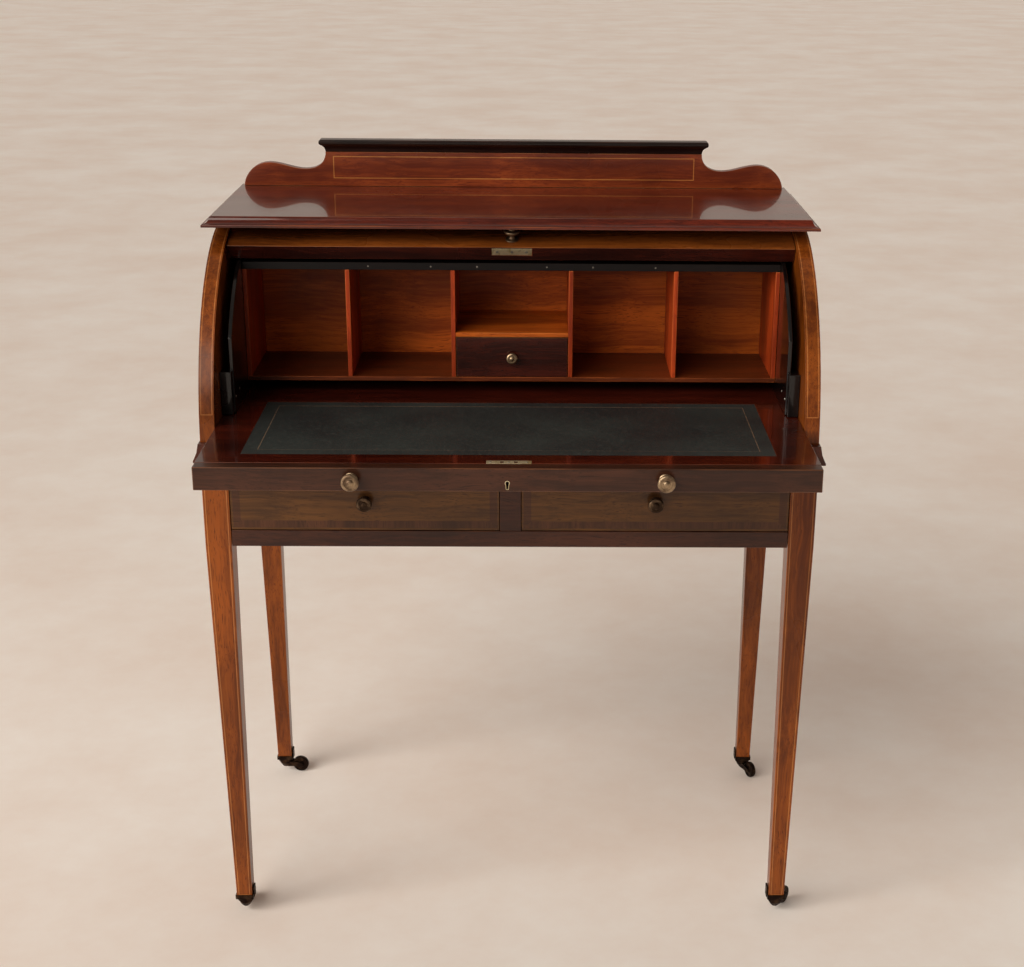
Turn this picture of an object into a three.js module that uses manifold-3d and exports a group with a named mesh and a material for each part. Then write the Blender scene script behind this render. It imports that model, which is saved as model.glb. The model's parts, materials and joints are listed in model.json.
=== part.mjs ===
// A cylinder-fall writing desk on four tapered legs with castors, millimetres, +Z up, front facing -Y.
// The curved fall is shown open and the writing slide drawn out.
import * as THREE from 'three';
import { mergeVertices } from 'three/addons/utils/BufferGeometryUtils.js';
import Module from 'manifold-3d';

const wasm = await Module();
wasm.setup();

// ---------------------------------------------------------------------------------------------
// Driving dimensions
// ---------------------------------------------------------------------------------------------
const width = 900;
const depth = 504;
const waist_height = 757;
const gap = 0.3;

const leg_width = 39;
const foot_width = 24.4;
const foot_inset = 11.8;
const apron_height = 128;

const side_thickness = 22;
const side_setback = 10.5;
const side_crown = 3.7;
const arc_centre_rise = 16.8;

const top_thickness = 15.1;
const top_overhang_side = 12;
const top_overhang_back = 2;
const top_reach = 116.5;

const fall_setback = 4;
const fall_thickness = 18;
const fall_lip_thickness = 24;
const fall_lip_width = 44;
const fall_travel = 61;
const fall_shut_end = 71.5;
const fall_back_clearance = 4.632;

const slide_rise = 51;
const slide_thickness = 18;
const slide_front_height = 33;
const slide_front_thickness = 22;
const slide_travel = 176;
const slide_stop_clearance = 12;
const slide_back_clearance = 17;
const leather_side_border = 56;
const leather_front_border = 61;
const leather_back_border = 60;
const leather_thickness = 1.2;

const rail_depth = 20;
const bottom_rail_height = 25;
const waist_rail_overlap = 12;
const stile_width = 31;
const drawer_front_thickness = 18;
const drawer_wall = 9;
const drawer_bottom = 6;
const drawer_back_clearance = 27;
const frieze_back_inset = 2;
const frieze_back_thickness = 18;
const back_panel_inset = 1;
const back_panel_thickness = 8;

const fitment_reach = 89.5;
const fitment_depth = 157;
const fitment_lift = 18;
const fitment_head_room = 55.5;
const fitment_board = 6.5;
const fitment_top_board = 11;
const fitment_back_board = 6;
const divider_inner = 90;
const divider_outer = 250;
const shelf_rise = 70;

const cheek_thickness = 6;
const cheek_setback = 76.5;
const cheek_margin = 30;
const arm_room = 12.9;
const arm_thickness = 5;
const arm_cheek_gap = 2.4;

const gallery_end_inset = 6.5;
const gallery_thickness = 16;
const neck_inset = 135;
const neck_height = 55;
const capping_height = 20;
const capping_overhang = 10;

const wheel_radius = 14.5;
const wheel_width = 9;
const wheel_clearance = 0.853;
const socket_wall = 1.8;
const boss_radius = 13;
const castor_boss_rise = 6;
const castor_boss_height = 6.5;
const castor_plate_thickness = 7;
const castor_well_depth = 3.5;

// ---------------------------------------------------------------------------------------------
// Sizes that follow from the driving dimensions
// ---------------------------------------------------------------------------------------------
const rad = (degrees) => degrees * Math.PI / 180;

const half_width = width / 2;
const half_depth = depth / 2;
const side_inner = half_width - side_thickness;
const side_front = -half_depth + side_setback;
const leg_inner = half_width - leg_width;
const leg_back_edge = half_depth - leg_width;
const front_face = -half_depth + 1;
const back_panel_front = half_depth - back_panel_inset - back_panel_thickness;
const frieze_back_front = half_depth - frieze_back_inset - frieze_back_thickness;
const apron_bottom = waist_height - apron_height;
const waist_rail_bottom = waist_height - waist_rail_overlap;
const drawer_back = frieze_back_front - drawer_back_clearance;

// The open fall's tail stays clear of the back, which sets the cylinder's radius.
const fall_end_angle = fall_travel + fall_shut_end;
const tail_share = -Math.cos(rad(fall_end_angle));
const cylinder_room = back_panel_front - fall_back_clearance - side_front;
const arc_radius = (cylinder_room + fall_setback * tail_share) / (1 + tail_share);
const arc_centre_y = side_front + arc_radius;
const arc_centre_z = waist_height + arc_centre_rise;
const carcase_top = arc_centre_z + arc_radius + side_crown;
const fall_outer_radius = arc_radius - fall_setback;
const fall_half = side_inner - 1;
const top_bottom = carcase_top + gap;
const top_surface = top_bottom + top_thickness;
const top_front = arc_centre_y - top_reach;
const top_back = half_depth + top_overhang_back;

const notch_front = arc_centre_y - 26.5;
const notch_back = arc_centre_y + 35.5;
const slide_top = waist_height + slide_rise;
const slide_half = side_inner - 1;
const slide_bottom = slide_top - slide_thickness;
const slide_front = front_face - slide_travel;
const slide_back = back_panel_front - slide_travel - slide_back_clearance;
const slide_shoulder = notch_front - slide_travel - slide_stop_clearance;

const cheek_inner = side_inner - gap - arm_room - cheek_thickness;
const cheek_outer = cheek_inner + cheek_thickness;
const fitment_half_width = cheek_inner - gap;
const slide_narrow_half = cheek_inner + 1.2;
const fitment_front = arc_centre_y - fitment_reach;
const fitment_back = fitment_front + fitment_depth;
const fitment_base = slide_top + fitment_lift;
const fitment_top = carcase_top - fitment_head_room;
const shelf_height = fitment_base + shelf_rise;
const leather_half_width = slide_half - leather_side_border;
const leather_front = slide_front + leather_front_border;
const leather_back = fitment_front - leather_back_border;
const cheek_front = side_front + cheek_setback;
const cheek_radius = arc_radius - cheek_margin;

const gallery_half_width = half_width - gallery_end_inset;
const gallery_back = half_depth;
const gallery_front = gallery_back - gallery_thickness;

const socket_half = foot_width / 2 + socket_wall;
const socket_corner = socket_half * Math.SQRT2;
const boss_reach = Math.sqrt(wheel_radius ** 2 - castor_boss_rise ** 2);
const plate_rise = castor_boss_rise + castor_boss_height;
const plate_reach = Math.sqrt(Math.max(0, wheel_radius ** 2 - plate_rise ** 2));
const wheel_trail = Math.max(boss_radius + boss_reach, socket_corner + plate_reach) + wheel_clearance;
const castor_boss_bottom = wheel_radius + castor_boss_rise;
const castor_plate_bottom = castor_boss_bottom + castor_boss_height;
const castor_plate_top = castor_plate_bottom + castor_plate_thickness;
const leg_end = castor_plate_bottom + castor_well_depth;
const foot_centre_x = half_width - foot_inset - foot_width / 2;
const foot_centre_y = half_depth - foot_width / 2;

// ---------------------------------------------------------------------------------------------
// Materials
// ---------------------------------------------------------------------------------------------
const finishes = {
  mahogany: { color: 0x6a2f18, roughness: 0.28, metalness: 0 },
  mahogany_dark: { color: 0x47200f, roughness: 0.3, metalness: 0 },
  mahogany_faded: { color: 0x5f3c20, roughness: 0.35, metalness: 0 },
  mahogany_raw: { color: 0x7c4a26, roughness: 0.6, metalness: 0 },
  ebonised: { color: 0x17100d, roughness: 0.25, metalness: 0 },
  leather: { color: 0x353c38, roughness: 0.5, metalness: 0 },
  brass: { color: 0xc0a468, roughness: 0.3, metalness: 0.95 },
  bronze: { color: 0x7b6746, roughness: 0.4, metalness: 0.9 },
  iron: { color: 0x3a332c, roughness: 0.5, metalness: 0.8 },
};

const desk = new THREE.Group();
desk.name = 'cylinder_desk';

function add(name, geometry, finish) {
  const mesh = new THREE.Mesh(geometry, new THREE.MeshStandardMaterial(finishes[finish]));
  mesh.name = name;
  desk.add(mesh);
  return mesh;
}

// ---------------------------------------------------------------------------------------------
// Shape helpers
// ---------------------------------------------------------------------------------------------

// A straight board between two opposite corners.
function board(x0, x1, y0, y1, z0, z1) {
  const geometry = new THREE.BoxGeometry(x1 - x0, y1 - y0, z1 - z0);
  geometry.translate((x0 + x1) / 2, (y0 + y1) / 2, (z0 + z1) / 2);
  return geometry;
}

// A rectangular block whose outline changes from level to level, listed upwards.
function stack(levels) {
  const geometry = new THREE.BoxGeometry(1, 1, 1, 1, 1, levels.length - 1);
  const position = geometry.getAttribute('position');
  for (let i = 0; i < position.count; i += 1) {
    const level = levels[Math.round((position.getZ(i) + 0.5) * (levels.length - 1))];
    const x = position.getX(i) < 0 ? level.x0 : level.x1;
    const y = position.getY(i) < 0 ? level.y0 : level.y1;
    position.setXYZ(i, x, y, level.z);
  }
  geometry.computeVertexNormals();
  return geometry;
}

function extruded(shape, length, segments) {
  return new THREE.ExtrudeGeometry(shape, { depth: length, bevelEnabled: false, curveSegments: segments });
}

// A profile drawn in depth and height, cut from a board that runs across the desk.
function across(shape, x0, x1, segments = 12) {
  const geometry = extruded(shape, x1 - x0, segments);
  const turn = new THREE.Matrix4().makeBasis(
    new THREE.Vector3(0, 1, 0),
    new THREE.Vector3(0, 0, 1),
    new THREE.Vector3(1, 0, 0),
  );
  geometry.applyMatrix4(turn);
  geometry.translate(x0, 0, 0);
  return geometry;
}

// A profile drawn in width and height, running from front y0 to back y1.
function front_to_back(shape, y0, y1, segments = 12) {
  const geometry = extruded(shape, y1 - y0, segments);
  geometry.rotateX(Math.PI / 2);
  geometry.translate(0, y1, 0);
  return geometry;
}

// A plan outline raised from z0 to z1.
function raised(shape, z0, z1, segments = 12) {
  const geometry = extruded(shape, z1 - z0, segments);
  geometry.translate(0, 0, z0);
  return geometry;
}

function outline(points) {
  return new THREE.Shape(points.map(([x, y]) => new THREE.Vector2(x, y)));
}

// Turned work: radius and height pairs about a vertical axis, starting and ending on the axis.
function turned(profile, segments = 24) {
  const geometry = new THREE.LatheGeometry(profile.map(([r, h]) => new THREE.Vector2(r, h)), segments);
  geometry.rotateX(Math.PI / 2);
  return geometry;
}

function solid(geometry) {
  const bare = geometry.clone();
  bare.deleteAttribute('normal');
  bare.deleteAttribute('uv');
  const merged = mergeVertices(bare, 1e-4);
  return new wasm.Manifold(new wasm.Mesh({
    numProp: 3,
    vertProperties: new Float32Array(merged.getAttribute('position').array),
    triVerts: new Uint32Array(merged.index.array),
  }));
}

function surface(body) {
  const mesh = body.getMesh();
  const geometry = new THREE.BufferGeometry();
  geometry.setAttribute('position', new THREE.BufferAttribute(new Float32Array(mesh.vertProperties), 3));
  geometry.setIndex(new THREE.BufferAttribute(new Uint32Array(mesh.triVerts), 1));
  geometry.computeVertexNormals();
  return geometry;
}

function joined(...geometries) {
  return surface(geometries.map(solid).reduce((whole, piece) => whole.add(piece)));
}

function cut(geometry, ...tools) {
  return surface(tools.map(solid).reduce((whole, tool) => whole.subtract(tool), solid(geometry)));
}

// Points of an arc about the fall's centre; the angle starts at the front and rises to the back.
function arc(radius, from, to, steps) {
  const points = [];
  for (let i = 0; i <= steps; i += 1) {
    const angle = rad(from + (to - from) * i / steps);
    points.push([arc_centre_y - radius * Math.cos(angle), arc_centre_z + radius * Math.sin(angle)]);
  }
  return points;
}

function place_at_fall_centre(geometry, angle) {
  geometry.translate(0, -arc_centre_y, -arc_centre_z);
  geometry.rotateX(rad(angle));
  geometry.translate(0, arc_centre_y, arc_centre_z);
  return geometry;
}

const ends = [['left', -1], ['right', 1]];

function mirrored_board(side, x0, x1, y0, y1, z0, z1) {
  return side < 0 ? board(-x1, -x0, y0, y1, z0, z1) : board(x0, x1, y0, y1, z0, z1);
}

function mirrored_across(side, shape, x0, x1, segments) {
  return side < 0 ? across(shape, -x1, -x0, segments) : across(shape, x0, x1, segments);
}

// ---------------------------------------------------------------------------------------------
// Legs: square at the frieze, tapering to the foot below it
// ---------------------------------------------------------------------------------------------
for (const [row, back] of [['front', -1], ['back', 1]]) {
  for (const [end, side] of ends) {
    const foot_outer = half_width - foot_inset;
    const foot_inner = foot_outer - foot_width;
    const foot_edge = half_depth - foot_width;
    const level = (z, outer, inner, edge) => ({
      z,
      x0: side < 0 ? -outer : inner,
      x1: side < 0 ? -inner : outer,
      y0: back < 0 ? -half_depth : edge,
      y1: back < 0 ? -edge : half_depth,
    });
    add(`leg_${row}_${end}`, stack([
      level(leg_end, foot_outer, foot_inner, foot_edge),
      level(apron_bottom, half_width, leg_inner, leg_back_edge),
      level(waist_height, half_width, leg_inner, leg_back_edge),
    ]), 'mahogany');
  }
}

// ---------------------------------------------------------------------------------------------
// Sides: one board each, let in between the legs below and shaped to the cylinder above
// ---------------------------------------------------------------------------------------------
const side_bottom_edge = leg_back_edge - gap;
const side_shape = outline([
  [-side_bottom_edge, apron_bottom],
  [side_bottom_edge, apron_bottom],
  [side_bottom_edge, waist_height + gap],
  [half_depth, waist_height + gap],
  [half_depth, carcase_top],
  [arc_centre_y, carcase_top],
  ...arc(arc_radius, 90, 0, 24),
  [side_front, waist_height + gap],
  [-side_bottom_edge, waist_height + gap],
]);
const pivot_radius = 6;
const pivot_hole = new THREE.Path();
pivot_hole.absarc(arc_centre_y, arc_centre_z, pivot_radius + 0.4, 0, Math.PI * 2, true);
side_shape.holes.push(pivot_hole);
for (const [end, side] of ends) {
  add(`side_${end}`, mirrored_across(side, side_shape, side_inner, half_width, 12), 'mahogany_dark');
}

// ---------------------------------------------------------------------------------------------
// Waist mouldings: a flared strip along each side, returned across the side's front edge
// ---------------------------------------------------------------------------------------------
const moulding_height = 29;
const moulding_flare = 10;
for (const [end, side] of ends) {
  const x = half_width + gap;
  const z = waist_height + gap;
  const profile = outline([
    [x, z],
    [x + moulding_flare, z],
    [x + moulding_flare, z + 3],
    [x + moulding_flare - 2.5, z + 8],
    [x + moulding_flare - 6, z + 16],
    [x + 1.5, z + moulding_height],
    [x, z + moulding_height],
  ].map(([px, pz]) => [side * px, pz]));
  const run = front_to_back(profile, -half_depth, half_depth);
  const y = side_front - gap;
  const block = mirrored_board(side, side_inner + gap, x + 1, -half_depth, y, z, z + moulding_height);
  add(`waist_moulding_${end}`, joined(run, block), 'mahogany_dark');
}

// ---------------------------------------------------------------------------------------------
// Back, waist and frieze
// ---------------------------------------------------------------------------------------------
const fit_half = leg_inner - gap;
const inside_half = side_inner - gap;
const rail_back = front_face + rail_depth;

const rail_head = apron_bottom + bottom_rail_height;
const back_foot = waist_height + gap;
const frieze_back = board(
  -fit_half,
  fit_half,
  frieze_back_front,
  half_depth - frieze_back_inset,
  apron_bottom,
  waist_height,
);
const back_panel = board(
  -inside_half,
  inside_half,
  back_panel_front,
  half_depth - back_panel_inset,
  back_foot,
  carcase_top,
);
const bottom_rail = board(-fit_half, fit_half, front_face, rail_back, apron_bottom, rail_head);
add('frieze_back', frieze_back, 'mahogany_dark');
add('upper_back_panel', back_panel, 'mahogany_dark');
add('frieze_bottom_rail', bottom_rail, 'mahogany');

const waist_rail_top = slide_top - slide_front_height - 0.7;
const rail_profile = outline([
  [-fit_half, waist_rail_bottom],
  [fit_half, waist_rail_bottom],
  [fit_half, waist_height + gap],
  [inside_half, waist_height + gap],
  [inside_half, waist_rail_top],
  [-inside_half, waist_rail_top],
  [-inside_half, waist_height + gap],
  [-fit_half, waist_height + gap],
]);
add('waist_rail', front_to_back(rail_profile, front_face, rail_back), 'mahogany');

// The board the slide runs on, notched at each side for the fall's pivots.
const waist_board_front = rail_back + 3;
const waist_board_back = back_panel_front - gap;
const waist_plan = outline([
  [-inside_half, waist_board_front],
  [inside_half, waist_board_front],
  [inside_half, notch_front],
  [slide_narrow_half, notch_front],
  [slide_narrow_half, notch_back],
  [inside_half, notch_back],
  [inside_half, waist_board_back],
  [-inside_half, waist_board_back],
  [-inside_half, notch_back],
  [-slide_narrow_half, notch_back],
  [-slide_narrow_half, notch_front],
  [-inside_half, notch_front],
]);
add('waist_board', raised(waist_plan, slide_bottom - gap - 15, slide_bottom - gap), 'mahogany_raw');

const stile_half = stile_width / 2;
const frieze_floor = rail_head + gap;
const stile_profile = outline([
  [front_face, frieze_floor],
  [frieze_back_front - gap, frieze_floor],
  [frieze_back_front - gap, frieze_floor + 18],
  [rail_back, frieze_floor + 18],
  [rail_back, waist_rail_bottom - gap],
  [front_face, waist_rail_bottom - gap],
]);
add('centre_stile', across(stile_profile, -stile_half, stile_half), 'mahogany');

const dust_front = rail_back + gap;
const dust_back = frieze_back_front - gap;
const dust_half = leg_back_edge - gap * 2;
const dust_plan = outline([
  [-fit_half, dust_front],
  [fit_half, dust_front],
  [fit_half, -dust_half],
  [inside_half, -dust_half],
  [inside_half, dust_half],
  [fit_half, dust_half],
  [fit_half, dust_back],
  [-fit_half, dust_back],
  [-fit_half, dust_half],
  [-inside_half, dust_half],
  [-inside_half, -dust_half],
  [-fit_half, -dust_half],
]);
add('frieze_dust_board', raised(dust_plan, frieze_floor - gap - 8, frieze_floor - gap), 'mahogany_raw');

// ---------------------------------------------------------------------------------------------
// Top board with an ogee edge on the front and both ends
// ---------------------------------------------------------------------------------------------
const drawn_edge_height = 15.1;
const edge_steps = [
  [0, 0],
  [3.4, 0],
  [4.2, 0.7],
  [5, 3.4],
  [6.2, 6.6],
  [8.4, 9.2],
  [11, 10.3],
  [12.4, 10.8],
  [13.6, 11.4],
  [14.4, 12.2],
  [drawn_edge_height, 13],
];
const board_half = half_width + top_overhang_side;
add('top_board', stack(edge_steps.map(([rise, inset]) => ({
  z: top_bottom + rise * top_thickness / drawn_edge_height,
  x0: -board_half + inset,
  x1: board_half - inset,
  y0: top_front + inset,
  y1: top_back,
}))), 'mahogany');

// ---------------------------------------------------------------------------------------------
// Gallery: a shaped upstand along the back of the top with a moulded ebonised capping
// ---------------------------------------------------------------------------------------------
const gallery_foot = top_surface + gap;
const gallery_shape = new THREE.Shape();
const g = gallery_half_width;
gallery_shape.moveTo(g, 0);
gallery_shape.bezierCurveTo(g - 1, 17, g - 17, 37.4, g - 42, 37.4);
gallery_shape.bezierCurveTo(g - 62, 37.4, g - 81, 27.5, g - 101, 27.5);
gallery_shape.bezierCurveTo(g - 122, 27.5, g - neck_inset, 38, g - neck_inset, neck_height);
gallery_shape.lineTo(-g + neck_inset, neck_height);
gallery_shape.bezierCurveTo(-g + neck_inset, 38, -g + 122, 27.5, -g + 101, 27.5);
gallery_shape.bezierCurveTo(-g + 81, 27.5, -g + 62, 37.4, -g + 42, 37.4);
gallery_shape.bezierCurveTo(-g + 17, 37.4, -g + 1, 17, -g, 0);
const gallery = new THREE.ExtrudeGeometry(gallery_shape, {
  depth: gallery_thickness,
  bevelEnabled: false,
  curveSegments: 10,
});
gallery.rotateX(Math.PI / 2);
gallery.translate(0, gallery_back, gallery_foot);
add('gallery_board', gallery, 'mahogany');

const capping_half = g - neck_inset;
const capping_foot = gallery_foot + neck_height + gap;
const drawn_capping_height = 20;
const capping_steps = [
  [0, 0],
  [3, 0.3],
  [6.5, 1.6],
  [9.5, 4.6],
  [11.5, 8],
  [12.5, 9.4],
  [14.5, 10],
  [17.5, 9.8],
  [19.3, 8.6],
  [drawn_capping_height, 6.6],
];
add('gallery_capping', stack(capping_steps.map(([rise, swell]) => ({
  z: capping_foot + rise * capping_height / drawn_capping_height,
  x0: -capping_half - swell * capping_overhang / 10,
  x1: capping_half + swell * capping_overhang / 10,
  y0: gallery_front - swell * capping_overhang / 12,
  y1: gallery_back,
}))), 'ebonised');

// ---------------------------------------------------------------------------------------------
// Pigeonhole fitment
// ---------------------------------------------------------------------------------------------
const f0 = fitment_front;
const f1 = fitment_back;
const inner_end = fitment_half_width - fitment_board;
const divider_foot = fitment_base + fitment_board;
const divider_head = fitment_top - fitment_top_board;
const fitment_piece = (name, x0, x1, y0, y1, z0, z1) => {
  add(name, board(x0, x1, y0, y1, z0, z1), 'mahogany_raw');
};
const end_face = fitment_half_width;
fitment_piece('pigeonhole_base', -end_face, end_face, f0, f1, fitment_base, divider_foot);
fitment_piece('pigeonhole_top', -end_face, end_face, f0, f1, divider_head, fitment_top);
const back_face = f1 + gap + fitment_back_board;
fitment_piece('pigeonhole_back', -end_face, end_face, f1 + gap, back_face, fitment_base, fitment_top);
const uprights = [
  ['divider_inner', divider_inner - fitment_board / 2],
  ['divider_outer', divider_outer - fitment_board / 2],
  ['end', inner_end],
];
for (const [end, side] of ends) {
  for (const [place, x] of uprights) {
    const near = side < 0 ? -x - fitment_board : x;
    const [z0, z1] = [divider_foot + gap, divider_head - gap];
    fitment_piece(`pigeonhole_${place}_${end}`, near, near + fitment_board, f0, f1 - gap, z0, z1);
  }
}
const shelf_half = divider_inner - fitment_board / 2 - gap;
const shelf_head = shelf_height + fitment_board;
fitment_piece('pigeonhole_shelf', -shelf_half, shelf_half, f0, f1 - gap, shelf_height, shelf_head);

// Small drawer under the shelf.
const small_half = shelf_half - 0.7;
const small_foot = divider_foot + 0.5;
const small_head = shelf_height - 1;
const small_back = f1 - 9;
add('small_drawer', cut(
  board(-small_half, small_half, f0 + 1, small_back, small_foot, small_head),
  board(-small_half + 5, small_half - 5, f0 + 9, small_back - 5, small_foot + 4, small_head + 5),
), 'mahogany_dark');

const arm_fit = 0.4;
const arm_flange = 20;

// ---------------------------------------------------------------------------------------------
// Cheeks: ebonised boards beside the fitment that hide the fall's arms
// ---------------------------------------------------------------------------------------------
const cheek_foot = slide_top + 1;
const cheek_start = Math.acos((arc_centre_y - cheek_front) / cheek_radius) * 180 / Math.PI;
const cheek_tail_reach = back_panel_front - gap - arc_centre_y;
const cheek_tail_height = Math.sqrt(cheek_radius ** 2 - cheek_tail_reach ** 2) - 1.5;
const cheek_shape = outline([
  [cheek_front, cheek_foot],
  [back_panel_front - gap, cheek_foot],
  [back_panel_front - gap, arc_centre_z + cheek_tail_height],
  ...arc(cheek_radius, cheek_start, fall_end_angle - 12.5, 16).reverse(),
]);
const block_front = cheek_front - 12;
const block_back = cheek_front + 14;
const arm_sweep = fall_outer_radius - fall_thickness - arm_fit - arm_flange - 1;
const block_top = arc_centre_z + Math.sqrt(arm_sweep ** 2 - (arc_centre_y - block_front) ** 2);
for (const [end, side] of ends) {
  const [x0, x1] = [cheek_inner + 2, side_inner - gap];
  add(`cheek_${end}`, joined(
    mirrored_across(side, cheek_shape, cheek_inner, cheek_outer),
    mirrored_board(side, x0, x1, block_front, block_back, cheek_foot, block_top),
  ), 'ebonised');
}

// ---------------------------------------------------------------------------------------------
// Cylinder fall: a curved shell with a thicker leading rail whose edge meets the slide when shut
// ---------------------------------------------------------------------------------------------
const shut_height = slide_top + 0.7 - arc_centre_z;
const lip_radius = fall_outer_radius - fall_lip_thickness;
const shell_radius = fall_outer_radius - fall_thickness;
const edge_angle = (radius) => Math.asin(shut_height / radius) * 180 / Math.PI + fall_travel;
const lip_angle = edge_angle(lip_radius) + fall_lip_width / lip_radius * 180 / Math.PI;
const fall_shape = outline([
  ...arc(fall_outer_radius, edge_angle(fall_outer_radius), fall_end_angle, 24),
  ...arc(shell_radius, lip_angle, fall_end_angle, 20).reverse(),
  ...arc(lip_radius, edge_angle(lip_radius), lip_angle, 4).reverse(),
]);
const plate_half = 30;
const plate_width = 12;
const plate_thickness = 1.6;
const plate_radius = fall_outer_radius - 11;
const pocket = (margin) => place_at_fall_centre(board(
  -plate_half - margin,
  plate_half + margin,
  arc_centre_y - plate_radius - plate_width / 2 - margin,
  arc_centre_y - plate_radius + plate_width / 2 + margin,
  arc_centre_z + shut_height + (margin ? -1 : 0.05),
  arc_centre_z + shut_height + plate_thickness + margin,
), -fall_travel);
add('cylinder_fall', cut(across(fall_shape, -fall_half, fall_half), pocket(0.25)), 'mahogany');
add('fall_strike_plate', pocket(0), 'brass');

// Iron arms: a curved flange under the shell and a bar down to the pivot in the side.
const arm_inner = cheek_outer + arm_cheek_gap;
const arm_outer = arm_inner + arm_thickness;
const flange_outer = shell_radius - arm_fit;
const flange_inner = flange_outer - arm_flange;
const flange_start = lip_angle + 1.594;
const flange_end = fall_end_angle - 1.5;
const arm_angle = flange_end - 5;
const flange_shape = outline([
  ...arc(flange_outer, flange_start, flange_end, 18),
  ...arc(flange_inner, flange_start, flange_end, 18).reverse(),
]);
const bar_half = 10;
const bar_shape = outline([
  [arc_centre_y - bar_half, arc_centre_z],
  [arc_centre_y + bar_half, arc_centre_z],
  [arc_centre_y + bar_half, arc_centre_z + flange_outer - 6],
  [arc_centre_y - bar_half, arc_centre_z + flange_outer - 6],
]);
const hub_shape = new THREE.Shape();
hub_shape.absarc(arc_centre_y, arc_centre_z, 14, 0, Math.PI * 2);
const pin_shape = new THREE.Shape();
pin_shape.absarc(arc_centre_y, arc_centre_z, pivot_radius, 0, Math.PI * 2);
for (const [end, side] of ends) {
  const bar = place_at_fall_centre(mirrored_across(side, bar_shape, arm_inner, arm_outer), 90 - arm_angle);
  add(`fall_arm_${end}`, joined(
    mirrored_across(side, flange_shape, arm_inner, arm_outer),
    bar,
    mirrored_across(side, hub_shape, arm_inner, arm_outer, 12),
    mirrored_across(side, pin_shape, arm_outer - 1, half_width - 2, 12),
  ), 'iron');
}

// ---------------------------------------------------------------------------------------------
// Writing slide
// ---------------------------------------------------------------------------------------------
const slide_board_front = slide_front + slide_front_thickness + gap;
const slide_plan = outline([
  [-slide_half, slide_board_front],
  [slide_half, slide_board_front],
  [slide_half, slide_shoulder],
  [slide_narrow_half, slide_shoulder],
  [slide_narrow_half, slide_back],
  [-slide_narrow_half, slide_back],
  [-slide_narrow_half, slide_shoulder],
  [-slide_half, slide_shoulder],
]);
const leather_bed = board(
  -leather_half_width,
  leather_half_width,
  leather_front,
  leather_back,
  slide_top - leather_thickness,
  slide_top + 1,
);
add('slide_board', cut(raised(slide_plan, slide_bottom, slide_top), leather_bed), 'mahogany_dark');
add('slide_front_rail', board(
  -slide_half,
  slide_half,
  slide_front,
  slide_front + slide_front_thickness,
  slide_top - slide_front_height,
  slide_top,
), 'mahogany_faded');
add('writing_leather', board(
  -leather_half_width + gap,
  leather_half_width - gap,
  leather_front + gap,
  leather_back - gap,
  slide_top - leather_thickness + 0.05,
  slide_top,
), 'leather');

// ---------------------------------------------------------------------------------------------
// Frieze drawers
// ---------------------------------------------------------------------------------------------
const drawer_inner = stile_half + 1;
const drawer_outer = leg_inner - 1;
const drawer_foot = frieze_floor + 1;
const drawer_head = waist_rail_bottom - 1.5;
const drawer_centre = (drawer_inner + drawer_outer) / 2;
const drawer_middle = (drawer_foot + drawer_head) / 2;
const box_front = front_face + drawer_front_thickness + gap;
for (const [end, side] of ends) {
  const y1 = front_face + drawer_front_thickness;
  const front = mirrored_board(side, drawer_inner, drawer_outer, front_face, y1, drawer_foot, drawer_head);
  add(`drawer_front_${end}`, front, 'mahogany_faded');
  const [x0, x1] = [drawer_inner + 1.5, drawer_outer - 1.5];
  const [w0, w1] = [x0 + drawer_wall, x1 - drawer_wall];
  const z0 = frieze_floor + 0.5;
  const inner_back = drawer_back - drawer_wall;
  add(`drawer_box_${end}`, cut(
    mirrored_board(side, x0, x1, box_front, drawer_back, z0, drawer_head - 8),
    mirrored_board(side, w0, w1, box_front - 5, inner_back, z0 + drawer_bottom, drawer_head),
  ), 'mahogany_raw');
}

// ---------------------------------------------------------------------------------------------
// Turned brass knobs, built pointing up and laid over towards the front
// ---------------------------------------------------------------------------------------------
const knob_projection = 18.9;

function knob(size) {
  const k = size / 25;
  return turned([
    [0, 0],
    [9.6, 0],
    [9.8, 0.9],
    [9.2, 1.8],
    [6, 2.6],
    [4.4, 4.4],
    [4.2, 7.4],
    [5.2, 9.6],
    [8.6, 11],
    [11.6, 12.4],
    [12.5, 14.2],
    [12.2, 15.6],
    [10.8, 16.8],
    [8.4, 17.3],
    [7.6, 16.9],
    [4.6, 16.9],
    [4, 17.9],
    [2.4, 18.6],
    [0, knob_projection],
  ].map(([r, h]) => [r * k, h * k]));
}

function front_knob(size, x, y, z) {
  const geometry = knob(size);
  geometry.rotateX(Math.PI / 2);
  geometry.translate(x, y - gap, z);
  return geometry;
}

const slide_knob_size = 25;
const drawer_knob_size = 23;
const fall_knob_size = 25.5;
const small_knob_size = 17.5;
const slide_middle = slide_top - slide_front_height / 2;
for (const [end, side] of ends) {
  const x = side * drawer_centre;
  add(`slide_knob_${end}`, front_knob(slide_knob_size, x, slide_front, slide_middle), 'brass');
  add(`drawer_knob_${end}`, front_knob(drawer_knob_size, x, front_face, drawer_middle), 'bronze');
}
add('small_drawer_knob', front_knob(small_knob_size, 0, f0 + 1, (small_foot + small_head) / 2), 'brass');

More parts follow.
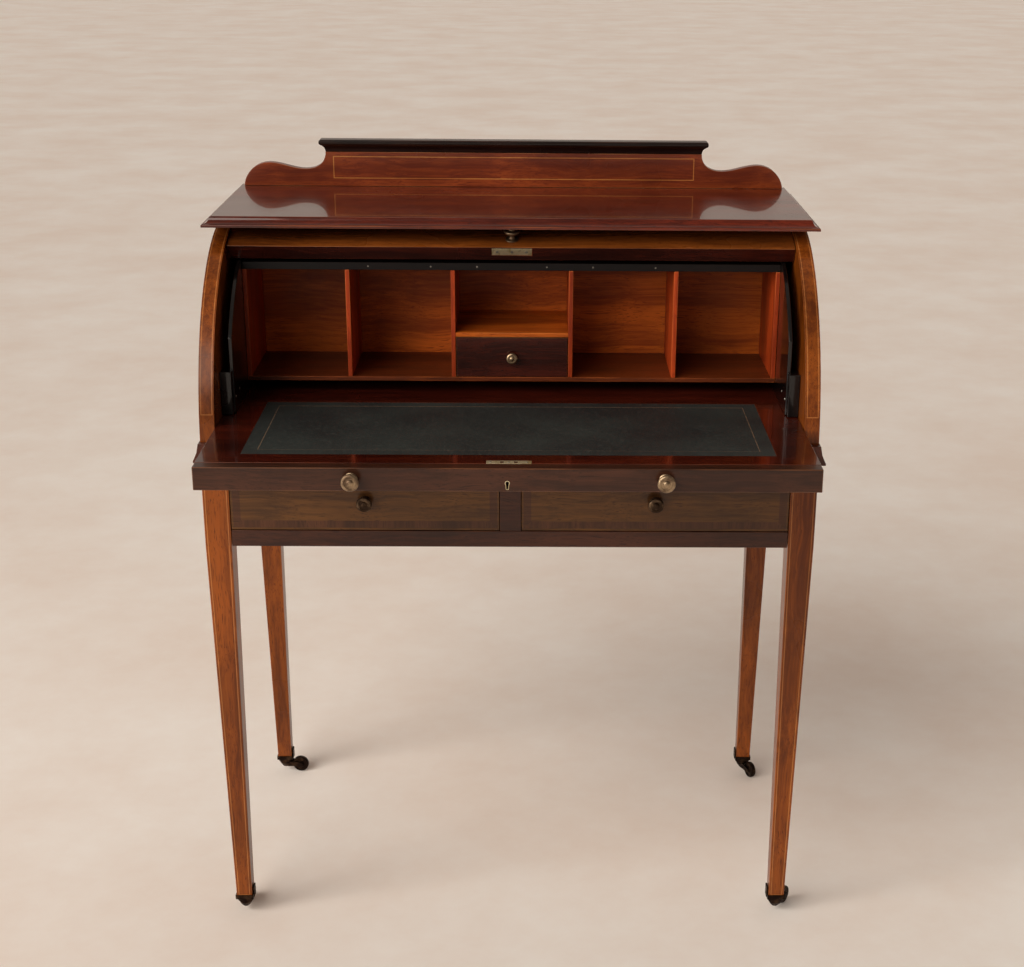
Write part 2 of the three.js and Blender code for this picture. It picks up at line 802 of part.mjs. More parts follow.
// The open fall's knob stops just under the top board: the rim of its head is the highest point.
const knob_under_top = 0.5;
const rim_reach = fall_outer_radius + gap + 16.8 * fall_knob_size / 25;
const rim_radius = 10.8 * fall_knob_size / 25;
const rim_height = top_bottom - knob_under_top - arc_centre_z;
const rim_lead = Math.atan2(rim_radius, rim_reach);
const rim_angle = Math.asin(rim_height / Math.hypot(rim_reach, rim_radius));
const fall_knob_angle = (rim_angle - rim_lead) * 180 / Math.PI;
const fall_knob = knob(fall_knob_size);
fall_knob.translate(0, arc_centre_y, arc_centre_z + fall_outer_radius + gap);
add('fall_knob', place_at_fall_centre(fall_knob, 90 - fall_knob_angle), 'brass');

// ---------------------------------------------------------------------------------------------
// Castors: socket on the foot, swivelling horn, and wheel
// ---------------------------------------------------------------------------------------------
const pintle_radius = 3;
const axle_radius = 2;
const horn_top = castor_boss_bottom - gap;
const swivels = { front_left: 95, front_right: 55, back_left: -5, back_right: -64 };
const wheel_sides = 24;

function round_bar(radius, z0, z1, sides = 20) {
  const geometry = new THREE.CylinderGeometry(radius, radius, z1 - z0, sides);
  geometry.rotateX(Math.PI / 2);
  geometry.translate(0, 0, (z0 + z1) / 2);
  return geometry;
}

// A square socket on a round boss, with one ear screwed to the inner face of the leg.
function castor_socket(side) {
  const h = socket_half;
  const body = board(-h, h, -h, h, castor_plate_bottom, castor_plate_top);
  const boss = round_bar(boss_radius, castor_boss_bottom, castor_plate_bottom + 1);
  const well_half = foot_width / 2 + 0.35;
  const well = board(-well_half, well_half, -well_half, well_half, leg_end - gap, castor_plate_top + 5);
  const hole = round_bar(pintle_radius + 0.4, castor_boss_bottom - 1, castor_plate_bottom - 0.5, 16);
  const ear_inner = foot_width / 2 + 0.6;
  const ear = side < 0
    ? board(ear_inner, ear_inner + 2.6, -7, 7, castor_plate_bottom, castor_plate_top + 11)
    : board(-ear_inner - 2.6, -ear_inner, -7, 7, castor_plate_bottom, castor_plate_top + 11);
  return surface(solid(body).add(solid(boss)).subtract(solid(well)).subtract(solid(hole)).add(solid(ear)));
}

// The wheel trails along +X of its own frame before the castor is swivelled.
function castor_horn() {
  const root = turned([
    [0, horn_top - 10.7],
    [5.5, horn_top - 10.7],
    [7.5, horn_top - 8.2],
    [10.5, horn_top - 3.2],
    [10.5, horn_top],
    [pintle_radius, horn_top],
    [pintle_radius, castor_plate_bottom - 1],
    [0, castor_plate_bottom - 1],
  ], 20);
  const inner = wheel_width / 2 + 0.6;
  const arm_profile = outline([
    [-6, horn_top - 0.2],
    [14, horn_top - 0.2],
    ...[[-4, 4.9], [3, 3.5], [5, 0.1], [3, -3.1], [-2, -4.3], [-12, -3.1]]
      .map(([ahead, up]) => [wheel_trail + ahead, wheel_radius + up]),
    [6, horn_top - 9.6],
    [-4, horn_top - 7.2],
  ]);
  let body = solid(root);
  for (const y of [-inner - 2.4, inner]) {
    body = body.add(solid(front_to_back(arm_profile, y, y + 2.4)));
  }
  const axle = new THREE.CylinderGeometry(axle_radius, axle_radius, 2 * inner + 4, 16);
  axle.translate(wheel_trail, 0, wheel_radius);
  return surface(body.add(solid(axle)));
}

function castor_wheel() {
  const reach = wheel_radius / Math.cos(Math.PI / wheel_sides);
  const tread = new THREE.CylinderGeometry(reach, reach, wheel_width, wheel_sides);
  tread.rotateY(Math.PI / wheel_sides);
  tread.translate(wheel_trail, 0, wheel_radius);
  const bore = new THREE.CylinderGeometry(axle_radius + 0.4, axle_radius + 0.4, wheel_width + 2, 16);
  bore.translate(wheel_trail, 0, wheel_radius);
  return cut(tread, bore);
}

for (const [row, back] of [['front', -1], ['back', 1]]) {
  for (const [end, side] of ends) {
    const corner = `${row}_${end}`;
    const x = side * foot_centre_x;
    const y = back * foot_centre_y;
    const socket = castor_socket(side);
    socket.translate(x, y, 0);
    add(`castor_socket_${corner}`, socket, 'iron');
    for (const [piece, build] of [['horn', castor_horn], ['wheel', castor_wheel]]) {
      const geometry = build();
      geometry.rotateZ(rad(swivels[corner]));
      geometry.translate(x, y, 0);
      add(`castor_${piece}_${corner}`, geometry, 'iron');
    }
  }
}

// The desk is set over the middle of its own footprint, slide and knobs included.
const rearmost = top_back;
const foremost = slide_front - gap - knob_projection * slide_knob_size / 25;
desk.position.y = -(rearmost + foremost) / 2;

export default desk;
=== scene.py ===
import json
import math
import bmesh
import bpy
from mathutils import Matrix, Vector


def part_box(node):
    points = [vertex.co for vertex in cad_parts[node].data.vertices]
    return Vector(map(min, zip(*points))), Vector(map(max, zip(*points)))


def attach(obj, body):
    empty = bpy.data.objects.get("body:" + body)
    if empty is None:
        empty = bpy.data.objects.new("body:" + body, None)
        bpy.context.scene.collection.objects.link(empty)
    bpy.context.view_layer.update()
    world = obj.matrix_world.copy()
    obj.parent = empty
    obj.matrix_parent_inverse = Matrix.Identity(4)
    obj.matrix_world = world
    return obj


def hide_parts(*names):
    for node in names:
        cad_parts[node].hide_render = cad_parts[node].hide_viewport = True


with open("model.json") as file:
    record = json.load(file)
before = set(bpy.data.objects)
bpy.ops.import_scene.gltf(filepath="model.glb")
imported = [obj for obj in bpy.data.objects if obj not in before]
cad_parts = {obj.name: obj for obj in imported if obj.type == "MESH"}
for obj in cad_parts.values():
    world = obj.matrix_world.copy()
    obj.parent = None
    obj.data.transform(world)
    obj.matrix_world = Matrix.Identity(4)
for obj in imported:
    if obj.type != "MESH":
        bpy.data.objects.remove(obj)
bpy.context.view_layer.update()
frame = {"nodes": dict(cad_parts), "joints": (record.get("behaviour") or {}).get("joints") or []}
MM = 0.001
ENDS = ("left", "right")
CORNERS = ("front_left", "front_right", "back_left", "back_right")

# ---------------------------------------------------------------------------------------------
# Legs: four square mahogany legs, tapered on all inner faces below the frieze, planed from one
# length each and French polished. The front pair carries a fine boxwood line let in near the edges.
# ---------------------------------------------------------------------------------------------


def linear(code):
    """An sRGB hex colour as the linear colour that a shader socket takes."""
    parts = [int(code[i:i + 2], 16) / 255 for i in (1, 3, 5)]
    return [p / 12.92 if p <= 0.04045 else ((p + 0.055) / 1.055) ** 2.4 for p in parts] + [1]


def node(tree, kind, inputs, **settings):
    """Adds a shader node. inputs gives each socket a value, or the socket that feeds it."""
    made = tree.nodes.new(kind)
    for name, value in settings.items():
        setattr(made, name, value)
    for key, value in inputs.items():
        if isinstance(value, bpy.types.NodeSocket):
            tree.links.new(value, made.inputs[key])
        else:
            made.inputs[key].default_value = value
    return made


def new_material(name):
    """An empty node material, its tree, and its shader already joined to the output."""
    material = bpy.data.materials.new(name)
    material.use_nodes = True
    tree = material.node_tree
    tree.nodes.clear()
    shader = tree.nodes.new("ShaderNodeBsdfPrincipled")
    output = tree.nodes.new("ShaderNodeOutputMaterial")
    tree.links.new(shader.outputs[0], output.inputs[0])
    return material, tree, shader


# French-polished mahogany: fine brown streaks along the grain, short dark pores and a slow change
# of red and brown, under a clear shellac film. Eased edges are rubbed paler. Pine and boxwood are
# cut and drawn in the same way with their own colours.
STREAK_WIDTH = 5 * MM
FIGURE_WIDTH = 38 * MM
PORE_WIDTH = 1.1 * MM
GRAIN_STRETCH = 16


def wood(name, grain, light, dark, worn, roughness=0.3, polish=0.35, polish_roughness=0.12):
    """Wood of these colours, its grain running along the axis grain, under a film of polish."""
    material, tree, shader = new_material(f"{name}_{grain}")
    along = [1, 1, 1]
    along["xyz".index(grain)] = 1 / GRAIN_STRETCH
    place = node(tree, "ShaderNodeTexCoord", {}).outputs["Object"]
    cloud = node(tree, "ShaderNodeTexNoise", {"Vector": place, "Scale": 5.0, "Detail": 3.0})
    bend = node(tree, "ShaderNodeTexNoise", {"Vector": place, "Scale": 9.0, "Detail": 1.0})
    fibre = node(tree, "ShaderNodeMapping", {"Vector": place, "Scale": along})
    wander = node(tree, "ShaderNodeVectorMath",
                  {0: bend.outputs["Color"], 1: (0.02, 0.02, 0.02), 2: fibre.outputs[0]},
                  operation="MULTIPLY_ADD").outputs[0]
    figure = node(tree, "ShaderNodeTexNoise",
                  {"Vector": wander, "Scale": 1 / FIGURE_WIDTH, "Detail": 3.0})
    streak = node(tree, "ShaderNodeTexNoise", {
        "Vector": wander, "Scale": 1 / STREAK_WIDTH, "Detail": 5.0, "Roughness": 0.65})
    pore = node(tree, "ShaderNodeTexNoise",
                {"Vector": wander, "Scale": 1 / PORE_WIDTH, "Detail": 1.0})
    tone = node(tree, "ShaderNodeMix",
                {0: 0.45, 2: figure.outputs["Fac"], 3: streak.outputs["Fac"]})
    tone = node(tree, "ShaderNodeMapRange",
                {0: tone.outputs[0], 1: 0.36, 2: 0.64}, interpolation_type="SMOOTHSTEP")
    colour = node(tree, "ShaderNodeMix",
                  {0: tone.outputs[0], 6: linear(dark), 7: linear(light)}, data_type="RGBA")
    depth = node(tree, "ShaderNodeMapRange",
                 {0: cloud.outputs["Fac"], 1: 0.35, 2: 0.65, 3: 0.72, 4: 1.12})
    colour = node(tree, "ShaderNodeVectorMath",
                  {0: colour.outputs[2], "Scale": depth.outputs[0]}, operation="SCALE")
    open_pore = node(tree, "ShaderNodeMapRange", {0: pore.outputs["Fac"], 1: 0.40, 2: 0.32})
    colour = node(tree, "ShaderNodeMix",
                  {0: open_pore.outputs[0], 6: colour.outputs[0], 7: linear(dark)},
                  data_type="RGBA")
    eased = node(tree, "ShaderNodeAttribute", {}, attribute_name="eased").outputs["Fac"]
    rub = node(tree, "ShaderNodeMapRange",
               {0: bend.outputs["Fac"], 1: 0.42, 2: 0.6, 3: 0.1, 4: 0.75})
    rub = node(tree, "ShaderNodeMath", {0: eased, 1: rub.outputs[0]}, operation="MULTIPLY")
    colour = node(tree, "ShaderNodeMix",
                  {0: rub.outputs[0], 6: colour.outputs[2], 7: linear(worn)}, data_type="RGBA")
    tree.links.new(colour.outputs[2], shader.inputs["Base Color"])
    sheen_of = node(tree, "ShaderNodeMapRange", {
        0: cloud.outputs["Fac"], 1: 0.3, 2: 0.7, 3: roughness - 0.06, 4: roughness + 0.1})
    tree.links.new(sheen_of.outputs[0], shader.inputs["Roughness"])
    bump = node(tree, "ShaderNodeBump", {
        "Strength": 0.25, "Distance": 0.2 * MM, "Height": pore.outputs["Fac"]})
    ripple = node(tree, "ShaderNodeTexNoise", {"Vector": place, "Scale": 45.0, "Detail": 0.0})
    bump = node(tree, "ShaderNodeBump", {
        "Strength": 0.12, "Distance": 1.2 * MM, "Height": ripple.outputs["Fac"],
        "Normal": bump.outputs[0]})
    tree.links.new(bump.outputs[0], shader.inputs["Normal"])
    shader.inputs["IOR"].default_value = 1.5
    shader.inputs["Specular IOR Level"].default_value = 0.22
    shader.inputs["Coat Weight"].default_value = polish
    shader.inputs["Coat Roughness"].default_value = polish_roughness
    return material


def shape_of(name):
    """The CAD node's shape as a bmesh, its loose triangles merged into whole faces."""
    bm = bmesh.new()
    bm.from_mesh(frame["nodes"][name].data)
    bmesh.ops.remove_doubles(bm, verts=bm.verts, dist=0.01 * MM)
    bmesh.ops.dissolve_limit(bm, angle_limit=math.radians(0.4), verts=bm.verts, edges=bm.edges)
    bm.faces.layers.float.new("eased")
    return bm


def ease(bm, radius, sharper_than=28):
    """Eases every arris by radius, and marks the eased faces, where polish rubs thin."""
    arrises = [
        e for e in bm.edges
        if len(e.link_faces) == 2 and math.degrees(e.calc_face_angle()) > sharper_than
    ]
    made = bmesh.ops.bevel(bm, geom=arrises, offset=radius, segments=2, profile=0.5,
                           affect="EDGES", material=-1, clamp_overlap=True)
    eased = bm.faces.layers.float.get("eased")
    for face in made["faces"]:
        face[eased] = 1.0


def let_in_line(bm, faces, margin, width, slot, depth=0.0):
    """Lets a line into flat or curved faces, margin in from their edge, in material slot."""
    settings = {"use_boundary": True, "use_even_offset": True}
    bmesh.ops.inset_region(bm, faces=faces, thickness=margin, **settings)
    ring = bmesh.ops.inset_region(bm, faces=faces, thickness=width, depth=depth, **settings)
    for face in ring["faces"]:
        face.material_index = slot


def fit(bm, name, materials, body, slot, *nodes):
    """Makes a finished piece of bm on its body, standing for these CAD nodes."""
    mesh = bpy.data.meshes.new(name)
    bm.to_mesh(mesh)
    bm.free()
    for material in materials:
        mesh.materials.append(material)
    mesh.shade_smooth()
    mesh.set_sharp_from_angle(angle=math.radians(50))
    piece = bpy.data.objects.new(name, mesh)
    bpy.context.scene.collection.objects.link(piece)
    shading = piece.modifiers.new("even_shading", "WEIGHTED_NORMAL")
    shading.keep_sharp = True
    if nodes:
        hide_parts(*nodes)
    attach(piece, body)
    return piece


def facing(bm, direction, limit=0.9):
    """The faces of bm that look along direction."""
    way = Vector(direction)
    return [f for f in bm.faces if f.normal.dot(way) > limit]


FRONT = (0, -1, 0)
BACK = (0, 1, 0)
UP = (0, 0, 1)
LINE_WIDTH = 1.4 * MM
ARRIS = 0.8 * MM

red_z = wood("red_mahogany", "z", "#8e4812", "#5a2808", "#a86028", polish=0.2)
boxwood = wood("boxwood", "z", "#b5723c", "#8f5528", "#c08a58")
for corner in CORNERS:
    bm = shape_of(f"leg_{corner}")
    if corner.startswith("front"):
        let_in_line(bm, facing(bm, FRONT), 3 * MM, LINE_WIDTH, 1)
    ease(bm, ARRIS)
    fit(bm, f"{corner}_leg", [red_z, boxwood], "carcase", "mahogany", f"leg_{corner}")

# ---------------------------------------------------------------------------------------------
# Frieze: the rails between the legs that carry the drawers. Show wood is brown mahogany. The dust
# board that the drawers run on is plain pine.
# ---------------------------------------------------------------------------------------------
brown_x = wood("brown_mahogany", "x", "#4a2616", "#2c140c", "#643a22")
raw_x = wood("raw_pine", "x", "#9c7548", "#7c5832", "#a9845a", roughness=0.6, polish=0.0)
raw_y = wood("raw_pine", "y", "#9c7548", "#7c5832", "#a9845a", roughness=0.6, polish=0.0)
frieze = {
    "frieze_back": (raw_x, "mahogany_raw"),
    "frieze_bottom_rail": (brown_x, "mahogany_dark"),
    "waist_rail": (brown_x, "mahogany_dark"),
    "centre_stile": (brown_x, "mahogany_dark"),
    "frieze_dust_board": (raw_y, "mahogany_raw"),
    "waist_board": (raw_y, "mahogany_raw"),
}
for name, (timber, slot) in frieze.items():
    bm = shape_of(name)
    ease(bm, ARRIS)
    fit(bm, f"{name}_planed", [timber], "carcase", slot, name)

# ---------------------------------------------------------------------------------------------
# Sides: 22 mm mahogany panels cut to the quarter circle that the fall runs in. Their curved
# front edges are veneered, with a boxwood line near each edge that closes above the waist.
# ---------------------------------------------------------------------------------------------
LINE_FOOT = 823 * MM
for end in ENDS:
    name = f"side_{end}"
    bm = shape_of(name)
    bmesh.ops.bisect_plane(bm, geom=bm.verts[:] + bm.edges[:] + bm.faces[:],
                           plane_co=(0, 0, LINE_FOOT), plane_no=UP)
    edge = [
        f for f in bm.faces
        if abs(f.normal.x) < 0.1 and f.normal.y < -0.1 and f.calc_center_median().z > LINE_FOOT
    ]
    let_in_line(bm, edge, 2.2 * MM, LINE_WIDTH, 1)
    ease(bm, 0.6 * MM)
    fit(bm, f"{end}_side", [red_z, boxwood], "carcase", "mahogany", name)

# ---------------------------------------------------------------------------------------------
# Waist moulding: a run of flared moulding planted on each side over the leg heads, of darker
# straight-grained mahogany along the desk's depth.
# ---------------------------------------------------------------------------------------------
dark_y = wood("dark_mahogany", "y", "#5a2614", "#34140c", "#7c4426")
for end in ENDS:
    bm = shape_of(f"waist_moulding_{end}")
    ease(bm, 0.6 * MM)
    fit(bm, f"{end}_waist_moulding", [dark_y], "carcase", "mahogany_dark", f"waist_moulding_{end}")

# ---------------------------------------------------------------------------------------------
# Back: a thin raw panel behind the upper carcase, screwed round its edges.
# ---------------------------------------------------------------------------------------------
bm = shape_of("upper_back_panel")
ease(bm, 0.5 * MM)
fit(bm, "back_panel", [raw_x], "carcase", "mahogany_raw", "upper_back_panel")


def cut_across(bm, faces, point, direction):
    """Scribes a straight cut over these faces and returns the faces that they become."""
    edges = {e for f in faces for e in f.edges}
    verts = {v for f in faces for v in f.verts}
    made = bmesh.ops.bisect_plane(bm, geom=list(verts) + list(edges) + list(faces),
                                  plane_co=point, plane_no=direction)
    return [g for g in made["geom"] if isinstance(g, bmesh.types.BMFace)]


# Slotted countersunk steel screws, their heads a hair proud, each turned its own way.
HEAD_RISE = 0.5 * MM
HEAD_TAPER = 0.86
SLOT_HALF = 0.14
SLOT_DEPTH = 0.35 * MM
TURN_BETWEEN = 1.7
FIRST_TURN = 0.4


def screw_heads(places, direction, radius):
    """Screw heads of this radius at these places, all looking along direction."""
    whole = bmesh.new()
    whole.faces.layers.float.new("eased")
    aim = Vector(UP).rotation_difference(Vector(direction)).to_matrix().to_4x4()
    for number, place in enumerate(places):
        bm = bmesh.new()
        bmesh.ops.create_cone(bm, cap_ends=True, segments=20, radius1=radius,
                              radius2=radius * HEAD_TAPER, depth=2 * HEAD_RISE)
        cap = facing(bm, UP)
        for side in (-1, 1):
            cap = cut_across(bm, cap, (side * radius * SLOT_HALF, 0, 0), (1, 0, 0))
        slot = [f for f in cap if abs(f.calc_center_median().x) < radius * 0.1]
        bmesh.ops.inset_region(bm, faces=slot, thickness=0.02 * MM, depth=-SLOT_DEPTH)
        spin = Matrix.Rotation(number * TURN_BETWEEN + FIRST_TURN, 4, "Z")
        bmesh.ops.transform(bm, verts=bm.verts, matrix=Matrix.Translation(place) @ aim @ spin)
        head = bpy.data.meshes.new("screw_head")
        bm.to_mesh(head)
        bm.free()
        whole.from_mesh(head)
        bpy.data.meshes.remove(head)
    return whole


def metal(name, bright, tarnished, roughness, tarnish=0.5, cast_grain=0.0):
    """Metal of two tones: rubbed bright, and tarnished in a slow cloud over it."""
    material, tree, shader = new_material(name)
    place = node(tree, "ShaderNodeTexCoord", {}).outputs["Object"]
    cloud = node(tree, "ShaderNodeTexNoise", {"Vector": place, "Scale": 90.0, "Detail": 3.0})
    share = node(tree, "ShaderNodeMapRange", {
        0: cloud.outputs["Fac"], 1: 0.75 - tarnish * 0.6, 2: 0.95 - tarnish * 0.6})
    colour = node(tree, "ShaderNodeMix",
                  {0: share.outputs[0], 6: linear(bright), 7: linear(tarnished)}, data_type="RGBA")
    tree.links.new(colour.outputs[2], shader.inputs["Base Color"])
    dull = node(tree, "ShaderNodeMapRange", {
        0: share.outputs[0], 3: roughness, 4: roughness + 0.18})
    tree.links.new(dull.outputs[0], shader.inputs["Roughness"])
    grit = node(tree, "ShaderNodeTexNoise", {"Vector": place, "Scale": 1200.0, "Detail": 2.0})
    bump = node(tree, "ShaderNodeBump", {
        "Strength": 0.1 + cast_grain, "Distance": 0.15 * MM, "Height": grit.outputs["Fac"]})
    tree.links.new(bump.outputs[0], shader.inputs["Normal"])
    shader.inputs["Metallic"].default_value = 1.0
    return material


steel = metal("worn_steel", "#a8a49c", "#4e4842", 0.34)
lo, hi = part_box("upper_back_panel")
SCREW_FROM_EDGE = 12 * MM
PANEL_SCREW = 3.6 * MM
rows = [lo[2] + SCREW_FROM_EDGE, hi[2] - SCREW_FROM_EDGE]
columns = [lo[0] + (hi[0] - lo[0]) * share for share in (0.03, 0.27, 0.5, 0.73, 0.97)]
bm = screw_heads([(x, hi[1], z) for z in rows for x in columns], BACK, PANEL_SCREW)
fit(bm, "back_panel_screws", [steel], "carcase", "iron")

# ---------------------------------------------------------------------------------------------
# Top: one wide mahogany board with an ogee on its front and ends, polished to a mirror.
# ---------------------------------------------------------------------------------------------
top_x = wood("mirror_mahogany", "x", "#6c2410", "#3c120a", "#8a4c2c",
             roughness=0.2, polish=0.8, polish_roughness=0.04)
bm = shape_of("top_board")
ease(bm, 0.5 * MM)
fit(bm, "top", [top_x], "carcase", "mahogany", "top_board")

# ---------------------------------------------------------------------------------------------
# Gallery: a shaped board along the back of the top, with a boxwood line framing its middle, and
# a dark moulded capping.
# ---------------------------------------------------------------------------------------------
gallery_lo, gallery_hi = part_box("gallery_board")
LINE_HALF = 296.5 * MM
LINE_BOTTOM = gallery_lo[2] + 12.3 * MM
LINE_TOP = gallery_hi[2] - 6.7 * MM
gallery_x = wood("red_gallery_mahogany", "x", "#8c3e1a", "#5e2210", "#a8683c")
stringing_x = wood("boxwood", "x", "#c88748", "#9c5c2a", "#c88a58")
capping_x = wood("black_mahogany", "x", "#2c1812", "#150b09", "#4a2c20")
bm = shape_of("gallery_board")
faces = facing(bm, FRONT, 0.99)
for x in (-LINE_HALF, -LINE_HALF + LINE_WIDTH, LINE_HALF - LINE_WIDTH, LINE_HALF):
    faces = cut_across(bm, faces, (x, 0, 0), (1, 0, 0))
for z in (LINE_BOTTOM, LINE_BOTTOM + LINE_WIDTH, LINE_TOP - LINE_WIDTH, LINE_TOP):
    faces = cut_across(bm, faces, (0, 0, z), UP)
for face in faces:
    at = face.calc_center_median()
    inside = abs(at.x) < LINE_HALF and LINE_BOTTOM < at.z < LINE_TOP
    panel = abs(at.x) < LINE_HALF - LINE_WIDTH
    panel = panel and LINE_BOTTOM + LINE_WIDTH < at.z < LINE_TOP - LINE_WIDTH
    if inside and not panel:
        face.material_index = 1
ease(bm, 0.7 * MM)
fit(bm, "gallery", [gallery_x, stringing_x], "carcase", "mahogany", "gallery_board")
bm = shape_of("gallery_capping")
ease(bm, 0.5 * MM)
fit(bm, "capping", [capping_x], "carcase", "mahogany_dark", "gallery_capping")

# ---------------------------------------------------------------------------------------------
# Cheeks: ebonised boards inside each end that hide the fall's iron arms, glossy black.
# ---------------------------------------------------------------------------------------------
ebonised = wood("ebonised_mahogany", "z", "#0c0808", "#040303", "#140e0c",
                roughness=0.3, polish=0.8, polish_roughness=0.07)
CHEEK_SCREW = 2.6 * MM
CHEEK_SCREWS = ((22 * MM, 22 * MM), (56 * MM, 25 * MM))
for end in ENDS:
    bm = shape_of(f"cheek_{end}")
    ease(bm, 2.2 * MM)
    fit(bm, f"{end}_cheek", [ebonised], "carcase", "ebonised", f"cheek_{end}")
    lo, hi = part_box(f"cheek_{end}")
    side = -1 if end == "left" else 1
    face = min(abs(lo[0]), abs(hi[0])) * side
    low_row = [(face, lo[1] + lead, lo[2] + rise) for lead, rise in CHEEK_SCREWS]
    bm = screw_heads(low_row, (-side, 0, 0), CHEEK_SCREW)
    fit(bm, f"{end}_cheek_screws", [steel], "carcase", "iron")

# ---------------------------------------------------------------------------------------------
# Pigeonholes: thin mahogany boards housed into each other, with one shelf over a small drawer.
# The back, shelf, ends and dividers are painted light: a brighter copy of the mahogany. The base is
# a darker copy as painted shade, and the top is near black as painted shade under the top board.
# ---------------------------------------------------------------------------------------------
painted_lit_x = wood("painted_lit_mahogany", "x", "#cc6418", "#8c3a0a", "#d8803c", roughness=0.5, polish=0.05)
shaded_x = wood("shaded_mahogany", "x", "#6e3010", "#421a08", "#c8682c", roughness=0.45, polish=0.1)
painted_shade_x = wood("painted_shade_black", "x", "#140a08", "#080404", "#1c100c", roughness=0.6, polish=0.0)
painted_lit_z = wood("painted_lit_mahogany", "z", "#c04818", "#862c0c", "#d06c34", roughness=0.45, polish=0.05)
# Painted light and shade: each board takes the lit, the shaded or the near-black copy.
pigeonholes = {"base": shaded_x, "top": painted_shade_x, "back": painted_lit_x, "shelf": painted_lit_x}
for end in ENDS:
    for board in ("end", "divider_inner", "divider_outer"):
        pigeonholes[f"{board}_{end}"] = painted_lit_z
for board, timber in pigeonholes.items():
    bm = shape_of(f"pigeonhole_{board}")
    ease(bm, 0.6 * MM)
    slot = "ebonised" if timber is painted_shade_x else "mahogany"
    fit(bm, f"pigeonhole_{board}_fitted", [timber], "carcase", slot, f"pigeonhole_{board}")

PIN = 1.4 * MM
lo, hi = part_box("pigeonhole_top")
pins = [(side * x * MM, lo[1], (lo[2] + hi[2]) / 2) for side in (-1, 1) for x in (53, 123, 218)]
bm = screw_heads(pins, FRONT, PIN)
fit(bm, "pigeonhole_top_pins", [steel], "carcase", "iron")

# ---------------------------------------------------------------------------------------------
# Small drawer: a dark front on a box of thin boards, with a little brass knob.
# ---------------------------------------------------------------------------------------------
# The small drawer's dark front. The same dark mahogany is painted shade on the fall's edges and
# inside.
deep_and_shade_x = wood("deep_mahogany_and_shade", "x", "#481a10", "#260c08", "#6a3420",
              roughness=0.25, polish=0.5, polish_roughness=0.1)
bm = shape_of("small_drawer")
ease(bm, 0.7 * MM)
for face in facing(bm, FRONT):
    if face.calc_center_median().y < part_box("small_drawer")[0][1] + 2 * MM:
        face.material_index = 1
fit(bm, "inner_drawer_box", [raw_y, deep_and_shade_x], "inner_drawer", "mahogany_dark", "small_drawer")

# ---------------------------------------------------------------------------------------------
# Knobs: turned brass, each with a waisted stem, a ring and a middle button. Brass shows bright
# where it is rubbed and brown where it has tarnished; the drawer pair has gone to dark bronze.
# ---------------------------------------------------------------------------------------------
KNOB_WIDTH = 25
KNOB_OUTLINE = (
    (0, 0), (9.6, 0), (9.9, 0.8), (9.2, 1.8), (6.4, 2.4), (4.7, 3.8), (4.2, 5.8), (4.4, 8),
    (5.6, 9.9), (8.8, 11), (11.4, 12.1), (12.5, 13.8), (12.3, 15.4), (11.2, 16.6), (9.4, 17.2),
    (8.1, 17.1), (7.7, 16.4), (6.2, 16.2), (5.1, 16.5), (4.8, 17.5), (3.6, 18.4), (1.8, 18.8),
    (0, 18.9),
)


def turned_knob(size):
    """A knob of this diameter, standing on the origin along +Z."""
    bm = bmesh.new()
    scale = size / KNOB_WIDTH
    corners = [bm.verts.new((r * scale, 0, h * scale)) for r, h in KNOB_OUTLINE]
    profile = [bm.edges.new(pair) for pair in zip(corners, corners[1:])]
    bmesh.ops.spin(bm, geom=corners + profile, cent=(0, 0, 0), axis=UP, dvec=(0, 0, 0),
                   angle=math.tau, steps=48, use_merge=True, use_duplicate=False)
    bmesh.ops.remove_doubles(bm, verts=bm.verts, dist=0.01 * MM)
    bmesh.ops.recalc_face_normals(bm, faces=bm.faces)
    return bm


brass = metal("turned_brass", "#a89276", "#6e5a48", 0.3, tarnish=0.6)
bronze = metal("bronzed_brass", "#75604c", "#3c2e24", 0.34, tarnish=0.7)
knobs = {"small_drawer_knob": (brass, "inner_drawer", "brass")}
for end in ENDS:
    knobs[f"slide_knob_{end}"] = (brass, "slide", "brass")
    knobs[f"drawer_knob_{end}"] = (bronze, f"{end}_drawer", "bronze")
to_front = Matrix.Rotation(math.radians(90), 4, "X")
for name, (finish, body, slot) in knobs.items():
    lo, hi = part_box(name)
    bm = turned_knob(hi[0] - lo[0])
    middle = ((lo[0] + hi[0]) / 2, hi[1], (lo[2] + hi[2]) / 2)
    bmesh.ops.transform(bm, verts=bm.verts, matrix=Matrix.Translation(middle) @ to_front)
    fit(bm, f"{name}_turned", [finish], body, slot, name)

# ---------------------------------------------------------------------------------------------
# Fall: the curved front, a shell of jointed staves veneered with mahogany along its length. A
# brass strike plate is let into its leading edge, and one brass knob lifts it.
# ---------------------------------------------------------------------------------------------
fall_hinge = next(j for j in frame["joints"] if j["name"] == "fall_hinge")
fall_centre = Vector(fall_hinge["pos_m"])
golden_x = wood("golden_mahogany", "x", "#94501e", "#603012", "#94602c",
                roughness=0.24, polish=0.6, polish_roughness=0.1)
bm = shape_of("cylinder_fall")
# Painted shade: the shell's edges, ends and inner face take the dark mahogany; the outer face is
# golden.
for face in bm.faces:
    spoke = face.calc_center_median() - fall_centre
    spoke.x = 0
    if face.normal.dot(spoke.normalized()) < 0.7:
        face.material_index = 1
ease(bm, 1.0 * MM)
fit(bm, "fall_shell", [golden_x, deep_and_shade_x], "fall", "mahogany", "cylinder_fall")

